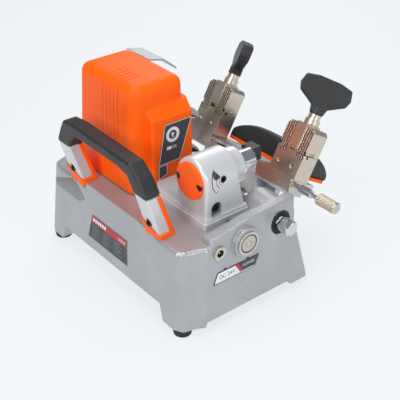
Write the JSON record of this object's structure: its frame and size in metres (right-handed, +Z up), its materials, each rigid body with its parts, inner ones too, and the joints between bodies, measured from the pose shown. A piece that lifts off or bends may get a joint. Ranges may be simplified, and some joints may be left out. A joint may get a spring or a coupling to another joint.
{
  "type": "key duplicating machine",
  "caption": "Bench key duplicating machine with a rocking two-vise carriage, tracer head, belt-driven cutter under a cover, battery base and carrying handle",
  "frame": {"origin": "on the bench, under the middle of the outline seen from above", "axes": "+Z up, +X along the machine from the tracer to the cutter, -Y towards the operator"},
  "size_m": [0.313, 0.2586, 0.226],
  "materials": {
    "hammertone": "silver-grey hammertone paint on a die casting",
    "cast_silver": "fine silver paint on a casting",
    "orange_plastic": "moulded orange ABS, satin",
    "black_plastic": "moulded black, soft satin",
    "nickel": "warm satin nickel plate",
    "chrome": "ground and chromed",
    "stainless": "turned stainless steel",
    "black_steel": "black oxide",
    "tool_steel": "ground tool steel",
    "aluminium_pulley": "turned aluminium",
    "bronze": "sintered bronze",
    "zinc_steel": "zinc plated sheet",
    "rubber": "black rubber",
    "printed_film": "printed film",
    "battery_wrap": "blue shrink wrap",
    "circuit_board": "green solder mask"
  },
  "bodies": {
    "base": {"base_housing": "hammertone", "base_screws": "black_steel", "battery_cells": "battery_wrap", "battery_tray": "zinc_steel", "bottom_plate": "zinc_steel", "button_ring": "stainless", "button_switch": "black_plastic", "chip_guard": "zinc_steel", "control_board": "circuit_board", "dc_inlet": "stainless", "drive_belt": "rubber", "handle_brackets": "cast_silver", "handle_grip": "black_plastic", "handle_trims": "orange_plastic", "head_cap": "orange_plastic", "head_housing": "cast_silver", "head_plinth": "cast_silver", "label_plates": "printed_film", "motor": "tool_steel", "motor_bracket": "zinc_steel", "motor_cover": "orange_plastic", "nameplate": "printed_film", "rubber_feet": "rubber", "shaft_bushes": "bronze", "shaft_seals": "rubber", "socket_screws": "black_steel", "spindle_bearings": "tool_steel", "spindle_housing": "cast_silver", "tracer_bush": "bronze", "tracer_collar": "cast_silver"},
    "power_button": {"button_cap": "stainless"},
    "cutter_spindle": {"spindle": "stainless", "cutter_wheel": "tool_steel", "cutter_nut": "tool_steel", "spindle_pulley": "aluminium_pulley"},
    "motor_rotor_body": {"motor_rotor": "stainless", "motor_pulley": "aluminium_pulley"},
    "tracer": {"tracer_shaft": "chrome", "tracer_block": "black_plastic", "tracer_guide": "stainless", "tracer_set_screw": "black_steel"},
    "tracer_adjuster": {"adjuster": "black_steel"},
    "shaft": {"carriage_shaft": "chrome"},
    "carriage": {"carriage_casting": "cast_silver", "hub_bushes": "bronze", "vise_slabs": "nickel", "lower_jaws": "nickel", "vise_studs": "chrome", "right_stop_rod": "chrome", "feed_bracket": "cast_silver", "feed_trim": "orange_plastic", "feed_pad": "black_plastic"},
    "left_screw": {"left_stop_rod": "chrome", "knurled_knob": "nickel"},
    "left_jaw": {"left_upper_jaw": "nickel"},
    "left_knob": {"left_clamp_nut": "nickel", "left_wing_knob": "black_plastic"},
    "right_jaw": {"right_upper_jaw": "nickel"},
    "right_knob": {"right_clamp_nut": "nickel", "right_wing_knob": "black_plastic"}
  },
  "joints": [
    {"name": "carriage_slide", "type": "slide", "parent": "base", "child": "shaft", "axis": [1, 0, 0], "range_m": [-0.02, 0.008]},
    {"name": "carriage_tilt", "type": "hinge", "parent": "shaft", "child": "carriage", "pos_m": [0.0195, -0.01075, 0.095], "axis": [-1, 0, 0], "range_deg": [0, 21]},
    {"name": "left_knob_turn", "type": "hinge", "parent": "left_jaw", "child": "left_knob", "pos_m": [-0.0755, -0.08413, 0.1681], "axis": [0, -0.5, 0.866], "range_deg": [0, 1440]},
    {"name": "left_jaw_lift", "type": "slide", "parent": "carriage", "child": "left_jaw", "axis": [0, -0.5, 0.866], "range_m": [0, 0.006]},
    {"name": "right_knob_turn", "type": "hinge", "parent": "right_jaw", "child": "right_knob", "pos_m": [0.0585, -0.08413, 0.1681], "axis": [0, -0.5, 0.866], "range_deg": [0, 1440]},
    {"name": "right_jaw_lift", "type": "slide", "parent": "carriage", "child": "right_jaw", "axis": [0, -0.5, 0.866], "range_m": [0, 0.006]},
    {"name": "left_screw_turn", "type": "hinge", "parent": "carriage", "child": "left_screw", "pos_m": [-0.0755, -0.04689, 0.11859], "axis": [1, 0, 0], "range_deg": [-360, 360]},
    {"name": "spindle_spin", "type": "hinge", "parent": "base", "child": "cutter_spindle", "pos_m": [0.0855, 0.00125, 0.156], "axis": [1, 0, 0], "continuous": true},
    {"name": "motor_spin", "type": "hinge", "parent": "base", "child": "motor_rotor_body", "pos_m": [0.0595, 0.05525, 0.16], "axis": [1, 0, 0], "continuous": true},
    {"name": "button_press", "type": "slide", "parent": "base", "child": "power_button", "axis": [1, 0, 0], "range_m": [0, 0.002], "stiffness_N_per_m": 1500, "springref_m": -0.0004},
    {"name": "tracer_shift", "type": "slide", "parent": "base", "child": "tracer", "axis": [0, 1, 0], "range_m": [-0.00086, 0.00086]},
    {"name": "adjuster_turn", "type": "hinge", "parent": "base", "child": "tracer_adjuster", "pos_m": [-0.0805, 0.04125, 0.1516], "axis": [1, 0, 0], "range_deg": [-45, 45]}
  ],
  "couplings": [
    {"joint": "left_knob_turn", "follows": "left_jaw_lift", "rad_per_m": 4188.8},
    {"joint": "right_knob_turn", "follows": "right_jaw_lift", "rad_per_m": 4188.8},
    {"joint": "motor_spin", "follows": "spindle_spin", "ratio": 1},
    {"joint": "adjuster_turn", "follows": "tracer_shift", "rad_per_m": 909.09}
  ]
}
